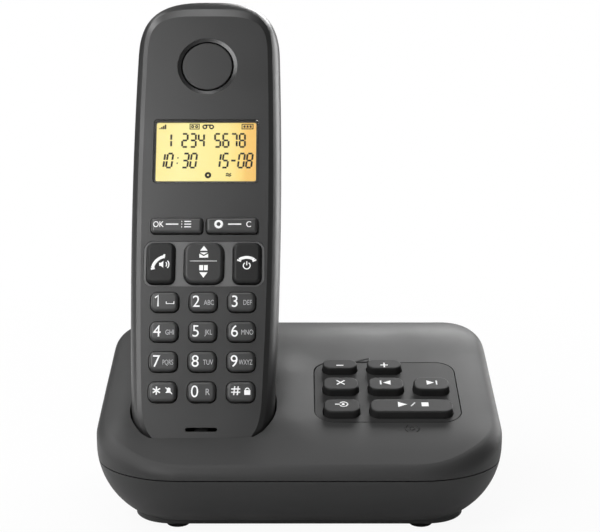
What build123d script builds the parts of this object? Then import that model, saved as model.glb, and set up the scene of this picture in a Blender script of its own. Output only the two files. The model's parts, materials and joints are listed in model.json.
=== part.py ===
from build123d import *
import os
from math import cos, exp, pi, radians, sin, sqrt, tan

# A telephone answering machine: a low base with message keys, and a cordless handset standing in
# its cradle.  Millimetres, X to the right, Y to the back, Z up, origin under the base's centre.

# ---------------------------------------------------------------- base: outer form
BASE_WIDTH = 128.5
BASE_DEPTH = 105.0
BASE_CORNER = 29.0          # corner of the outline seen from above
SIDE_CURVE = 24.5           # the sides curve in below on this radius
WIDEST_Z = 24.2             # height of the widest line
PARTING_Z = 19.6            # top cover meets bottom shell here
UNDERSIDE_Z = 2.0
PLINTH_INSET = 12.6
PLINTH_HEIGHT = 1.9
PLINTH_CORNER = 12.5
PLINTH_EDGE = 0.3
BASE_WALL = 2.0
RIM_RADIUS = 5.0            # rounding between the top surface and the sides
PARTING_GROOVE = 0.35

# base: top surface
PLATEAU_SLOPE = 17.5        # degrees, falling to the front
PLATEAU_FRONT_Z = 24.55     # height of the plateau's plane over the front edge
CREST_START = 70.0          # distance from the front where the plateau begins to level out
CREST_BEND = 0.0105
NOSE_LENGTH = 22.0          # the surface falls faster this near the front
NOSE_BEND = 0.0042
SIDE_ROLL = 12.0            # the surface rolls down this near the sides
SIDE_BEND = 0.02
COLLAR_RISE = 1.5           # the surface swells this much beside the cradle
COLLAR_WIDTH = 9.0
COLLAR_WIDTH_LEFT = 4.5     # steeper on the narrow side
COLLAR_START = 6.0          # distances from the front where it starts, is full and fades again
COLLAR_FULL = 24.0
COLLAR_BACK = 46.0
COLLAR_FADE = 13.0
SURFACE_GRID = 27           # points each way in the surface's net
SURFACE_MARGIN = 11.0

# ---------------------------------------------------------------- base: key panel and keys
PANEL_X = 28.1
PANEL_Y = -12.7
PANEL_WIDTH = 46.2
PANEL_HEIGHT = 35.4
PANEL_CORNER = 6.0
PANEL_THICKNESS = 2.3
PANEL_GAP = 0.35
PANEL_FLANGE = 2.0
PANEL_FLANGE_THICKNESS = 0.9
BASE_KEY_WIDTH = 11.4
BASE_KEY_HEIGHT = 7.4
BASE_KEY_SHORT = 5.8        # the back row's keys are shorter
BASE_KEY_CORNER = 2.8
BASE_KEY_RISE = 2.4
BASE_KEY_ROUNDING = 0.5
BASE_KEY_PITCH = 14.7
BASE_BACK_ROW = 13.2        # row centres up the slope from the panel's centre
BASE_MIDDLE_ROW = 1.1
BASE_FRONT_ROW = -11.9
BASE_KEY_GAP = 0.3
BASE_KEY_FLANGE = 0.6
BASE_FLANGE_THICKNESS = 0.8
BASE_KEY_TRAVEL = 0.8
BASE_MAT_GAP = 0.2          # left under a key that is fully pressed
BASE_MAT_THICKNESS = 0.9
BASE_MAT_HALF_WIDTH = 21.2
BASE_MAT_HALF_HEIGHT = 16.0
KEY_BOARD_THICKNESS = 1.2
RAIL_THICKNESS = 1.4
RAIL_HALF_LENGTH = 13.0
PANEL_FRAME_INSET = 0.4     # the frame under the panel reaches this far inside its edge

# ---------------------------------------------------------------- base: inside and underneath
BOSS_RADIUS = 4.3
BOSS_PLACES = ((-43.0, 30.0), (43.0, 30.0), (1.0, -36.0), (26.0, -36.0))
SCREW_RADIUS = 1.45
SCREW_HEAD_RADIUS = 2.8
SCREW_HEAD_HEIGHT = 2.0
SCREW_SEAT_Z = 9.5
SCREW_TIP_Z = 24.5
SCREW_CLEARANCE = 0.15
FOOT_RADIUS = 3.8
FOOT_PLACES = ((-38.0, -34.2), (38.0, -34.2), (-33.0, 35.0), (33.0, 35.0))
SPEAKER_RADIUS = 20.0
SPEAKER_PLACE = (25.5, -8.0)
SPEAKER_HEIGHT = 12.0
GRILLE_SLOTS = 6
GRILLE_PITCH = 4.4
GRILLE_SLOT_WIDTH = 1.8
MAIN_BOARD = (-38.0, 12.0, 6.0, 37.8)   # left, front, right, back
MAIN_BOARD_Z = 4.8
MAIN_BOARD_THICKNESS = 1.6
STANDOFF_RADIUS = 2.5
BAY_LEFT = -32.0
BAY_RIGHT = 4.0
BAY_Y = 40.0
BAY_BOTTOM = 5.6
BAY_TOP = 17.8
BAY_WALL = 2.0
SOCKET_DEPTH = 13.0
SOCKET_HEIGHT = 10.8
LINE_SOCKET_X = -23.0
LINE_SOCKET_WIDTH = 13.2
LINE_PLUG_WIDTH = 9.8       # 6-position modular plug
POWER_SOCKET_X = -5.0
POWER_SOCKET_WIDTH = 11.2
POWER_PLUG_WIDTH = 7.8      # 4-position modular plug
PLUG_HEIGHT = 6.8
PLUG_DEPTH = 10.5
PLUG_LATCH_WIDTH = 3.4
PLUG_LATCH_DEPTH = 1.6
PIN_RADIUS = 0.25
PIN_PITCH = 1.02
ANTENNA_SIZE = (14.0, 3.0, 6.0)

# ---------------------------------------------------------------- handset: outer form
# Handset frame: X across, Y up its length from the bottom end, Z out of the keypad face.
LEAN = 24.7                 # degrees back from upright
HANDSET_X = -30.4
HANDSET_Y = -40.2           # bottom end of the face, in the base's frame
HANDSET_Z = 22.3
HANDSET_LENGTH = 156.6
HANDSET_HALF_WIDTH = 24.43
HANDSET_THICKNESS = 27.0
WAIST_Y = 93.0              # where the handset is widest
SIDE_RADIUS = 1582.0        # the long sides bow on this radius
TOP_CAP = 20.6              # length of the rounded top end
TOP_POWER = 2.7             # how square its curve is
CAP_RUN_IN = 6.0            # the curve of each end starts this far down the straight sides
CAP_SPACING = 1.4           # its points lie closer together near the sides
BOTTOM_Y = 2.0              # tip of the rounded bottom end
BOTTOM_CAP = 20.0
BOTTOM_POWER = 3.5
BOTTOM_DRAFT = 0.4          # the front edge of the bottom end is drawn in less than the sides
BEVEL_INSET = 4.0           # face edge inside the widest outline
BEVEL_DEPTH = 1.3
SHOULDER_INSET = 2.45       # outer edge of the bevel
WIDEST_DEPTH = 9.0          # depth behind the face where the handset is widest
SHOULDER_SWELL = 6.0        # half-axes of the curve from the bevel to the widest line
SHOULDER_REACH = 9.5
REAR_SWELL = 12.0           # inset of the flat back
TOP_STRETCH = 2.1           # the top end slopes in this many times more than the sides
FACE_SQUARENESS = 0.32      # the face's top end is squarer than the outline
SEAM_DEPTH = 10.0           # front cover meets rear cover
SEAM_GAP = 0.25
HANDSET_WALL = 1.6
CRADLE_CLEARANCE = 0.6
CRADLE_WALL = 1.6

# ---------------------------------------------------------------- handset: face
MIC_SET_BACK = 7.75         # from the tip of the bottom end
MIC_SLOT = (9.9, 1.3)
MIC_RADIUS = 2.0            # electret capsule, 4 mm
MIC_HEIGHT = 2.0
KEY_PITCH_X = 12.15
KEY_PITCH_Y = 9.57
KEY_BOTTOM_ROW = 21.4
KEY_WIDTH = 8.9
KEY_HEIGHT = 6.5
KEY_CORNER = 2.1
KEY_RISE = 1.5
KEY_ROUNDING = 1.05
KEY_TRAVEL = 0.5
KEY_GAP = 0.25
KEY_FLANGE = 0.4
KEY_FLANGE_THICKNESS = 0.6
FLANGE_GAP = 0.3
ROCKER_FLANGE_GAP = 0.5
PLATE_Y = 62.8
PLATE_WIDTH = 38.4
PLATE_HEIGHT = 14.8
PLATE_CORNER = 3.0
PLATE_THICKNESS = 0.8
PLATE_RECESS = 0.25         # the plate lies this far below the face
SIDE_KEY_X = 13.75
SIDE_KEY_WIDTH = 8.9
FUNCTION_KEY_HEIGHT = 13.5
NAVIGATION_WIDTH = 12.6
NAVIGATION_CORNER = 3.2
SOFTKEY_Y = 75.2
SOFTKEY_WIDTH = 16.6
SOFTKEY_HEIGHT = 5.2
SOFTKEY_SPLIT = 1.1
SOFTKEY_CORNER = 1.2
WINDOW_Y = 100.75
WINDOW_WIDTH = 34.2
WINDOW_HEIGHT = 21.8
WINDOW_CORNER = 1.2
WINDOW_THICKNESS = 1.2
WINDOW_LEDGE = 0.8
FIT_GAP = 0.1
EARPIECE_Y = 130.4
EARPIECE_RADIUS = 8.25
EARPIECE_HOLE = 9.95
EARPIECE_FLANGE = 11.6
EARPIECE_SET_BACK = 0.15
EARPIECE_FLANGE_THICKNESS = 0.8
EARPIECE_ROUNDING = 0.3
EARPIECE_SPEAKER_HEIGHT = 3.6

# ---------------------------------------------------------------- handset: inside
MAT_GAP = 0.2               # left under a key that is fully pressed
MAT_DEPTH = HANDSET_WALL + ROCKER_FLANGE_GAP + KEY_FLANGE_THICKNESS + KEY_TRAVEL + MAT_GAP
MAT_THICKNESS = 0.8
MAT_REACH = (17.2, 79.5)
MAT_HALF_WIDTH = 17.4
BOARD_THICKNESS = 1.0
BOARD_REACH = (13.6, 117.0)
BOARD_HALF_WIDTH = 18.3
POST_RADIUS = 1.4
POST_MARGIN = 0.3           # inside the board's edge
POST_X = BOARD_HALF_WIDTH - POST_MARGIN - POST_RADIUS
POST_PLACES = ((POST_X, 84.0), (POST_X, 115.0), (6.5, 15.4))
LCD_MARGIN = 1.2
LCD_GAP = 0.3
LCD_THICKNESS = 1.3
LCD_CORNER = 0.6
HANDSET_ANTENNA = (18.0, 6.0, 4.0)
CELL_RADIUS = 5.25          # AAA
CELL_LENGTH = 44.5
CELL_GAP = 0.4
CELL_NUB_RADIUS = 1.9
CELL_NUB_HEIGHT = 1.0
TRAY_DEPTH = 12.2           # depth of the battery tray's floor behind the face
TRAY_FLOOR = 1.2
TRAY_HALF_WIDTH = 11.2
TRAY_MIDDLE = 73.0
TRAY_LENGTH = 51.0
TRAY_RIM = 3.8
DOOR_LEDGE = 2.3
DOOR_THICKNESS = 1.8
DOOR_GAP = 0.2
CONTACT_PLATE = 0.4
CONTACT_PLATE_WIDTH = 8.0
CONTACT_CONE_RADIUS = 3.0
RINGER_SLOT_PITCH = 3.2
RINGER_SLOT_WIDTH = 1.2
RINGER_CLEARANCE = 1.7      # between the battery tray and the ringer
RINGER_RADIUS = 7.5
RINGER_HEIGHT = 3.0
HANDSET_SCREW_PLACE = (17.0, 121.0)
HANDSET_BOSS_RADIUS = 2.4
HANDSET_SCREW_RADIUS = 1.0
HANDSET_HEAD_RADIUS = 1.7
HANDSET_HEAD_HEIGHT = 1.4
SCREW_SEAT_DEPTH = 19.0
SCREW_END_DEPTH = 4.0
PAD_X = 7.0
PAD_DEPTH = 12.9
PAD_SIZE = (4.0, 1.0, 4.6)
PAD_SET_BACK = 1.4          # behind the tip of the bottom end

# ---------------------------------------------------------------- charging contacts in the cradle
CONTACT_SIZE = (2.2, 2.6)
CONTACT_GAP = 0.3
CONTACT_FLANGE = (4.6, 4.8)
CONTACT_FLANGE_THICKNESS = 0.8
CONTACT_STEM_RADIUS = 1.0
CONTACT_TRAVEL = 0.8
CARRIER_DROP = 7.7          # carrier floor below the handset's bottom end
CARRIER_FLOOR = 1.6
SPRING_RADIUS = 1.75
SPRING_WIRE = 0.2
SPRING_TURNS = 5


# ================================================================ frames of reference
SLOPE = radians(PLATEAU_SLOPE)
TILT = radians(LEAN)
PLATEAU_Z = PLATEAU_FRONT_Z + tan(SLOPE) * (PANEL_Y + BASE_DEPTH / 2)
PANEL_FRAME = Plane((PANEL_X, PANEL_Y, PLATEAU_Z), x_dir=(1, 0, 0), z_dir=(0, -sin(SLOPE), cos(SLOPE)))
HANDSET_FRAME = Plane(
    (HANDSET_X, HANDSET_Y, HANDSET_Z), x_dir=(1, 0, 0), z_dir=(0, -cos(TILT), sin(TILT))
)


def on_panel(shape):
    return PANEL_FRAME.location * shape


def on_handset(shape):
    return HANDSET_FRAME.location * shape


def block(x0, x1, y0, y1, z0, z1):
    """Box between two corners."""
    centre = Pos((x0 + x1) / 2, (y0 + y1) / 2, (z0 + z1) / 2)
    return centre * Box(x1 - x0, y1 - y0, z1 - z0)


def prism(sketch, z0, z1):
    """Sketch carried from one height to another."""
    return Pos(0, 0, z0) * extrude(sketch, z1 - z0)


def drum(radius, x, y, z0, z1):
    """Upright cylinder between two heights."""
    return Pos(x, y, (z0 + z1) / 2) * Cylinder(radius, z1 - z0)


def pad(x, y, width, height, corner):
    return Pos(x, y) * RectangleRounded(width, height, corner)


def save(node, *solids):
    export_step(Compound(children=list(solids), label=node), f"parts/{node}.step")


def single(shape):
    """The one solid of a shape."""
    return shape.solids().sort_by(SortBy.VOLUME)[-1]


# ================================================================ base form
def ease(t):
    t = min(max(t, 0.0), 1.0)
    return t * t * (3 - 2 * t)


def top_height(x, y):
    """Height of the base's top surface: a sloping plateau that levels out at the back, rolls down
    at the front and sides, and swells along both sides of the cradle."""
    front = y + BASE_DEPTH / 2
    side = BASE_WIDTH / 2 - abs(x)
    z = PLATEAU_FRONT_Z + tan(SLOPE) * front
    z -= CREST_BEND * max(front - CREST_START, 0) ** 2
    z -= NOSE_BEND * max(NOSE_LENGTH - front, 0) ** 2
    z -= SIDE_BEND * max(SIDE_ROLL - side, 0) ** 2
    right = exp(-(((x - HANDSET_X - HANDSET_HALF_WIDTH) / COLLAR_WIDTH) ** 2))
    left = exp(-(((x - HANDSET_X + HANDSET_HALF_WIDTH) / COLLAR_WIDTH_LEFT) ** 2))
    swell = COLLAR_RISE * ease((front - COLLAR_START) / (COLLAR_FULL - COLLAR_START))
    swell *= exp(-((max(front - COLLAR_BACK, 0) / COLLAR_FADE) ** 2))
    return z + swell * (right + left)


def above_top(drop):
    """Everything above the top surface lowered by drop."""
    half_x = BASE_WIDTH / 2 + SURFACE_MARGIN
    half_y = BASE_DEPTH / 2 + SURFACE_MARGIN
    steps = [2 * i / (SURFACE_GRID - 1) - 1 for i in range(SURFACE_GRID)]
    net = [[Vector(half_x * s, half_y * t, top_height(half_x * s, half_y * t) - drop) for s in steps]
           for t in steps]
    surface = Face.make_surface_from_array_of_points(net, tol=0.02, min_deg=3)
    return extrude(surface, amount=BASE_DEPTH, dir=(0, 0, 1))


def base_form(inset):
    """Closed form of the base, drawn in on every side by inset."""
    outline = RectangleRounded(BASE_WIDTH - 2 * inset, BASE_DEPTH - 2 * inset, BASE_CORNER - inset)
    curve = SIDE_CURVE - inset
    form = prism(outline, WIDEST_Z - curve, WIDEST_Z + BASE_DEPTH / 2)
    form = fillet(form.edges().group_by(Axis.Z)[0], curve)
    form -= above_top(inset / cos(SLOPE))
    rim = form.faces().sort_by(Axis.Z)[-1].edges()
    return fillet(rim, RIM_RADIUS - inset)


def slab(z0, z1):
    return block(-BASE_WIDTH, BASE_WIDTH, -BASE_DEPTH, BASE_DEPTH, z0, z1)


def plinth():
    width = BASE_WIDTH - 2 * PLINTH_INSET
    depth = BASE_DEPTH - 2 * PLINTH_INSET
    outline = RectangleRounded(width, depth, PLINTH_CORNER)
    foot = prism(outline, UNDERSIDE_Z, UNDERSIDE_Z + PLINTH_HEIGHT)
    return chamfer(foot.edges().group_by(Axis.Z)[0], PLINTH_EDGE)


# ================================================================ handset form
def cap_curve(half, start, tip, power, steps=7):
    """Rounded end from the right side over the tip to the left side.  half gives the half width
    between the long sides, and the curve takes in a little of both sides to run smoothly on."""
    length = tip - start
    run_in = CAP_RUN_IN if length > 0 else -CAP_RUN_IN
    right = [(half(y), y) for y in (start - run_in, start - run_in / 2, start)]
    for i in range(1, steps):
        angle = pi / 2 * (i / steps) ** CAP_SPACING
        y = start + length * sin(angle) ** (2 / power)
        right.append((half(y) * cos(angle) ** (2 / power), y))
    left = [(-x, y) for x, y in reversed(right)]
    return Spline(*right, (0, tip), *left)


def handset_outline(depth, grow):
    """Outline of the handset at a depth behind the face, grown by grow: drawn in more at the
    rounded top than at the sides, and less at the front of the bottom end."""
    drawn = depth_inset(depth)
    draft = BOTTOM_DRAFT if depth < WIDEST_DEPTH else 1
    inset = drawn - grow
    stretch = TOP_STRETCH if inset > 0 else 1
    top = HANDSET_LENGTH - inset * stretch
    top_start = top - TOP_CAP + inset
    bottom_start = BOTTOM_Y + BOTTOM_CAP
    bottom = BOTTOM_Y + drawn * draft - grow
    power = TOP_POWER + FACE_SQUARENESS * max(inset, 0)

    def half(y):
        return HANDSET_HALF_WIDTH - (y - WAIST_Y) ** 2 / (2 * SIDE_RADIUS) - inset

    upper = cap_curve(half, top_start, top, power)
    lower = cap_curve(half, bottom_start, bottom, BOTTOM_POWER)
    levels = (bottom_start + CAP_RUN_IN, WAIST_Y, top_start - CAP_RUN_IN)
    sides = [Spline(*[(sign * half(y), y) for y in levels]) for sign in (1, -1)]
    return Face(Wire([upper, sides[0], lower, sides[1]]))


def depth_inset(depth):
    """How far the outline is drawn in at a depth behind the face."""
    if depth < BEVEL_DEPTH:
        return BEVEL_INSET + (SHOULDER_INSET - BEVEL_INSET) * depth / BEVEL_DEPTH
    if depth < WIDEST_DEPTH:
        fraction = (WIDEST_DEPTH - depth) / SHOULDER_REACH
        return SHOULDER_SWELL * (1 - sqrt(1 - fraction ** 2))
    fraction = (depth - WIDEST_DEPTH) / (HANDSET_THICKNESS - WIDEST_DEPTH)
    return REAR_SWELL * (1 - sqrt(max(1 - fraction ** 2, 0)))


def section_depths():
    """Depths of the sections from the bevel to the flat back, closer together at the back."""
    rear = HANDSET_THICKNESS - WIDEST_DEPTH
    front = [BEVEL_DEPTH, (BEVEL_DEPTH + WIDEST_DEPTH) / 3, (BEVEL_DEPTH + 2 * WIDEST_DEPTH) / 3]
    return front + [WIDEST_DEPTH + rear * sin(radians(a)) for a in (0, 20, 40, 58, 75, 90)]


def grown_depth(depth, grow):
    """The same depth on the form grown by grow: face and back move out, the widest line stays."""
    if depth <= BEVEL_DEPTH:
        return depth - grow
    return depth + grow * max(depth - WIDEST_DEPTH, 0) / (HANDSET_THICKNESS - WIDEST_DEPTH)


def handset_form(grow):
    """Closed form of the handset in its own frame, grown on every side."""
    sections = []
    for depth in [0] + section_depths():
        sections.append(Pos(0, 0, -grown_depth(depth, grow)) * handset_outline(depth, grow))
    bevel = loft(sections[:2], ruled=True)
    return bevel + loft(sections[1:])


# ================================================================ base: shells
OUTER = base_form(0)
INNER = base_form(BASE_WALL)
CRADLE_FLOOR = BOTTOM_Y - CRADLE_CLEARANCE - CRADLE_WALL    # underside of the well, along Y
PAD_Y = BOTTOM_Y + PAD_SET_BACK


def boss(x, y, z0, z1):
    return drum(BOSS_RADIUS, x, y, z0, z1)


def key_opening(width, height, corner, gap):
    return RectangleRounded(width + 2 * gap, height + 2 * gap, corner + gap)


def base_top_cover():
    """Upper housing with the cradle's well, the panel opening and four screw bosses."""
    cover = (OUTER - INNER) & slab(PARTING_Z + PARTING_GROOVE, BASE_DEPTH)
    cover += OUTER & on_handset(handset_form(CRADLE_CLEARANCE + CRADLE_WALL))
    for x, y in BOSS_PLACES:
        cover += boss(x, y, PARTING_Z, BASE_DEPTH / 2) & OUTER
    for x, y in BOSS_PLACES:
        cover -= drum(SCREW_RADIUS, x, y, PARTING_Z - 1, SCREW_TIP_Z + SCREW_CLEARANCE)
    cover -= on_handset(handset_form(CRADLE_CLEARANCE))
    opening = key_opening(PANEL_WIDTH, PANEL_HEIGHT, PANEL_CORNER, PANEL_GAP)
    cover -= on_panel(prism(opening, -PANEL_THICKNESS - BASE_WALL, BASE_WALL))
    for side in (-1, 1):
        hole = contact_block(side, CONTACT_GAP, CRADLE_FLOOR - CRADLE_WALL, PAD_Y)
        cover -= on_handset(hole)
    return single(cover)


def contact_block(side, gap, y0, y1):
    """Column around one charging contact, in the handset's frame."""
    half_x = CONTACT_SIZE[0] / 2 + gap
    half_z = CONTACT_SIZE[1] / 2 + gap
    x = side * PAD_X
    return block(x - half_x, x + half_x, y0, y1, -PAD_DEPTH - half_z, -PAD_DEPTH + half_z)


def base_bottom_shell():
    """Lower housing: tray with plinth, socket bay, screw bosses, board standoffs and grille."""
    outer = (OUTER & slab(UNDERSIDE_Z + PLINTH_HEIGHT, PARTING_Z)) + plinth()
    inner = INNER & slab(UNDERSIDE_Z + BASE_WALL, PARTING_Z + 1)
    shell = outer - inner
    back = BASE_DEPTH / 2
    bay = block(BAY_LEFT - BAY_WALL, BAY_RIGHT + BAY_WALL, BAY_Y - BAY_WALL, back,
                UNDERSIDE_Z + BASE_WALL, PARTING_Z)
    shell += bay & outer
    for x, y in BOSS_PLACES:
        shell += boss(x, y, UNDERSIDE_Z, PARTING_Z) & outer
    for x, y in standoff_places():
        shell += drum(STANDOFF_RADIUS, x, y, UNDERSIDE_Z + BASE_WALL / 2, MAIN_BOARD_Z)
    shell -= block(BAY_LEFT, BAY_RIGHT, BAY_Y, back + 1, BAY_BOTTOM, BAY_TOP)
    for x, width in ((LINE_SOCKET_X, LINE_SOCKET_WIDTH), (POWER_SOCKET_X, POWER_SOCKET_WIDTH)):
        half = width / 2 + FIT_GAP
        shell -= block(x - half, x + half, BAY_Y - 2 * BAY_WALL, BAY_Y + 1, SOCKET_Z - FIT_GAP,
                       SOCKET_Z + SOCKET_HEIGHT + FIT_GAP)
    for x, y in BOSS_PLACES:
        shell -= drum(SCREW_HEAD_RADIUS + SCREW_CLEARANCE * 2, x, y, 0, SCREW_SEAT_Z)
        shell -= drum(SCREW_RADIUS + SCREW_CLEARANCE, x, y, 0, PARTING_Z + 1)
    shell -= grille()
    return single(shell)


def grille():
    """Sound slots in the floor, each as long as the loudspeaker is wide there."""
    x, y = SPEAKER_PLACE
    slots = []
    for i in range(GRILLE_SLOTS):
        offset = (i - (GRILLE_SLOTS - 1) / 2) * GRILLE_PITCH
        length = 2 * sqrt(SPEAKER_RADIUS ** 2 - offset ** 2) - SPEAKER_RADIUS / 2
        slot = Pos(x, y + offset) * SlotOverall(length, GRILLE_SLOT_WIDTH)
        slots.append(prism(slot, 0, UNDERSIDE_Z + 2 * BASE_WALL - FIT_GAP))
    return slots


def standoff_places():
    left, front, right, rear = MAIN_BOARD
    inset = STANDOFF_RADIUS + 1
    return [(x, y) for x in (left + inset, right - inset) for y in (front + inset, rear - inset)]


SOCKET_Z = MAIN_BOARD_Z + MAIN_BOARD_THICKNESS


# ================================================================ base: key panel and keys
BASE_FLANGE_TOP = PANEL_THICKNESS + FLANGE_GAP
BASE_MAT_TOP = BASE_FLANGE_TOP + BASE_FLANGE_THICKNESS + BASE_KEY_TRAVEL + BASE_MAT_GAP
KEY_BOARD_TOP = BASE_MAT_TOP + BASE_MAT_THICKNESS
BASE_KEYS = {
    "key_volume_down": (-BASE_KEY_PITCH, BASE_BACK_ROW, BASE_KEY_WIDTH, BASE_KEY_SHORT),
    "key_volume_up": (0.0, BASE_BACK_ROW, BASE_KEY_WIDTH, BASE_KEY_SHORT),
    "key_delete": (-BASE_KEY_PITCH, BASE_MIDDLE_ROW, BASE_KEY_WIDTH, BASE_KEY_HEIGHT),
    "key_previous": (0.0, BASE_MIDDLE_ROW, BASE_KEY_WIDTH, BASE_KEY_HEIGHT),
    "key_next": (BASE_KEY_PITCH, BASE_MIDDLE_ROW, BASE_KEY_WIDTH, BASE_KEY_HEIGHT),
    "key_paging": (-BASE_KEY_PITCH, BASE_FRONT_ROW, BASE_KEY_WIDTH, BASE_KEY_HEIGHT),
    "key_play_stop": (BASE_KEY_PITCH / 2, BASE_FRONT_ROW, BASE_KEY_WIDTH + BASE_KEY_PITCH,
                      BASE_KEY_HEIGHT),
}


def key_panel():
    """Plate around the base's keys with a frame behind it and a rail each side for the board."""
    plate = prism(RectangleRounded(PANEL_WIDTH, PANEL_HEIGHT, PANEL_CORNER), -PANEL_THICKNESS, 0)
    outer = key_opening(PANEL_WIDTH, PANEL_HEIGHT, PANEL_CORNER, PANEL_FLANGE)
    inner = key_opening(PANEL_WIDTH, PANEL_HEIGHT, PANEL_CORNER, -PANEL_FRAME_INSET)
    plate += prism(outer - inner, -PANEL_THICKNESS - PANEL_FLANGE_THICKNESS, -PANEL_THICKNESS)
    for side in (-1, 1):
        rail = Box(RAIL_THICKNESS, 2 * RAIL_HALF_LENGTH, KEY_BOARD_TOP - PANEL_THICKNESS)
        x = side * (BASE_MAT_HALF_WIDTH + FLANGE_GAP + RAIL_THICKNESS / 2)
        plate += Pos(x, 0, -(KEY_BOARD_TOP + PANEL_THICKNESS) / 2) * rail
    for x, y, width, height in BASE_KEYS.values():
        hole = Pos(x, y) * key_opening(width, height, BASE_KEY_CORNER, BASE_KEY_GAP)
        plate -= prism(hole, -2 * PANEL_THICKNESS, 1)
    return on_panel(plate)


def base_key(x, y, width, height):
    """Key cap that stands out of the panel, with a flange that keeps it in."""
    cap = prism(pad(x, y, width, height, BASE_KEY_CORNER), -BASE_FLANGE_TOP, BASE_KEY_RISE)
    cap = fillet(cap.edges().group_by(Axis.Z)[-1], BASE_KEY_ROUNDING)
    flange = Pos(x, y) * key_opening(width, height, BASE_KEY_CORNER, BASE_KEY_FLANGE)
    cap += prism(flange, -BASE_FLANGE_TOP - BASE_FLANGE_THICKNESS, -BASE_FLANGE_TOP)
    return on_panel(cap)


def base_keymat():
    mat = RectangleRounded(2 * BASE_MAT_HALF_WIDTH, 2 * BASE_MAT_HALF_HEIGHT, BASE_KEY_CORNER)
    return on_panel(prism(mat, -KEY_BOARD_TOP, -BASE_MAT_TOP))


def key_circuit_board():
    half_width = BASE_MAT_HALF_WIDTH + FLANGE_GAP + RAIL_THICKNESS
    outline = RectangleRounded(2 * half_width, 2 * BASE_MAT_HALF_HEIGHT, 1)
    return on_panel(prism(outline, -KEY_BOARD_TOP - KEY_BOARD_THICKNESS, -KEY_BOARD_TOP))


# ================================================================ base: inside
def base_circuit_board():
    left, front, right, rear = MAIN_BOARD
    return block(left, right, front, rear, MAIN_BOARD_Z, SOCKET_Z)


def base_speaker():
    """Loudspeaker lying face down on the floor: rim, cone and magnet."""
    x, y = SPEAKER_PLACE
    floor = UNDERSIDE_Z + BASE_WALL
    rim_top = floor + SPEAKER_HEIGHT / 5
    cone_top = floor + SPEAKER_HEIGHT * 3 / 5
    cone = Cone(SPEAKER_RADIUS * 0.93, SPEAKER_RADIUS * 0.5, cone_top - rim_top)
    solid = drum(SPEAKER_RADIUS, x, y, floor, rim_top)
    solid += Pos(x, y, (rim_top + cone_top) / 2) * cone
    solid += drum(SPEAKER_RADIUS * 0.55, x, y, cone_top, floor + SPEAKER_HEIGHT)
    return solid


def modular_socket(x, width, plug_width):
    """Modular telephone socket, open at the back, with the notch for the plug's latch."""
    top = SOCKET_Z + SOCKET_HEIGHT
    middle = SOCKET_Z + SOCKET_HEIGHT / 2
    body = block(x - width / 2, x + width / 2, BAY_Y - SOCKET_DEPTH, BAY_Y, SOCKET_Z, top)
    body -= block(x - plug_width / 2, x + plug_width / 2, BAY_Y - PLUG_DEPTH, BAY_Y + 1,
                  middle - PLUG_HEIGHT / 2, middle + PLUG_HEIGHT / 2)
    latch = PLUG_LATCH_WIDTH / 2
    body -= block(x - latch, x + latch, BAY_Y - PLUG_DEPTH, BAY_Y + 1,
                  middle - PLUG_HEIGHT / 2 - PLUG_LATCH_DEPTH, middle)
    return body


def socket_contacts():
    """Straight contact wires along the roof of each socket."""
    z = SOCKET_Z + SOCKET_HEIGHT / 2 + PLUG_HEIGHT / 2 - 2 * PIN_RADIUS
    length = PLUG_DEPTH * 0.6
    y = BAY_Y - PLUG_DEPTH + length / 2
    pins = []
    for x, count in ((LINE_SOCKET_X, 6), (POWER_SOCKET_X, 4)):
        for i in range(count):
            offset = (i - (count - 1) / 2) * PIN_PITCH
            pins.append(Pos(x + offset, y, z) * Rot(90, 0, 0) * Cylinder(PIN_RADIUS, length))
    return pins


def base_antennas():
    """Two sheet antennas standing on the main board's front corners."""
    left, front, right, rear = MAIN_BOARD
    length, depth, height = ANTENNA_SIZE
    centre_z = SOCKET_Z + height / 2
    places = (left + length / 2 + 1, right - length / 2 - 1)
    return [Pos(x, front + depth / 2 + 1, centre_z) * Box(length, depth, height) for x in places]


def base_feet():
    feet = []
    for x, y in FOOT_PLACES:
        foot = drum(FOOT_RADIUS, x, y, 0, UNDERSIDE_Z)
        feet.append(fillet(foot.edges().group_by(Axis.Z)[0], UNDERSIDE_Z / 2))
    return feet


def base_screws():
    screws = []
    for x, y in BOSS_PLACES:
        head = drum(SCREW_HEAD_RADIUS, x, y, SCREW_SEAT_Z - SCREW_HEAD_HEIGHT, SCREW_SEAT_Z)
        screws.append(head + drum(SCREW_RADIUS - FIT_GAP / 2, x, y, SCREW_SEAT_Z, SCREW_TIP_Z))
    return screws


# ================================================================ cradle: charging contacts
CONTACT_TIP = PAD_Y - CONTACT_GAP
CONTACT_FLANGE_TOP = CRADLE_FLOOR - CONTACT_GAP
CARRIER_TOP = BOTTOM_Y - CARRIER_DROP


def charging_contact(side):
    """Sprung contact: a bar through the cradle's floor, a flange under it and a guide stem."""
    half_x = CONTACT_FLANGE[0] / 2
    half_z = CONTACT_FLANGE[1] / 2
    x = side * PAD_X
    flange_bottom = CONTACT_FLANGE_TOP - CONTACT_FLANGE_THICKNESS
    contact = contact_block(side, 0, CONTACT_FLANGE_TOP, CONTACT_TIP)
    contact += block(x - half_x, x + half_x, flange_bottom, CONTACT_FLANGE_TOP,
                     -PAD_DEPTH - half_z, -PAD_DEPTH + half_z)
    stem_end = CARRIER_TOP + CONTACT_TRAVEL + CONTACT_GAP
    length = flange_bottom - stem_end
    stem = Rot(90, 0, 0) * Cylinder(CONTACT_STEM_RADIUS, length)
    contact += Pos(x, flange_bottom - length / 2, -PAD_DEPTH) * stem
    return on_handset(contact)


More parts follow.
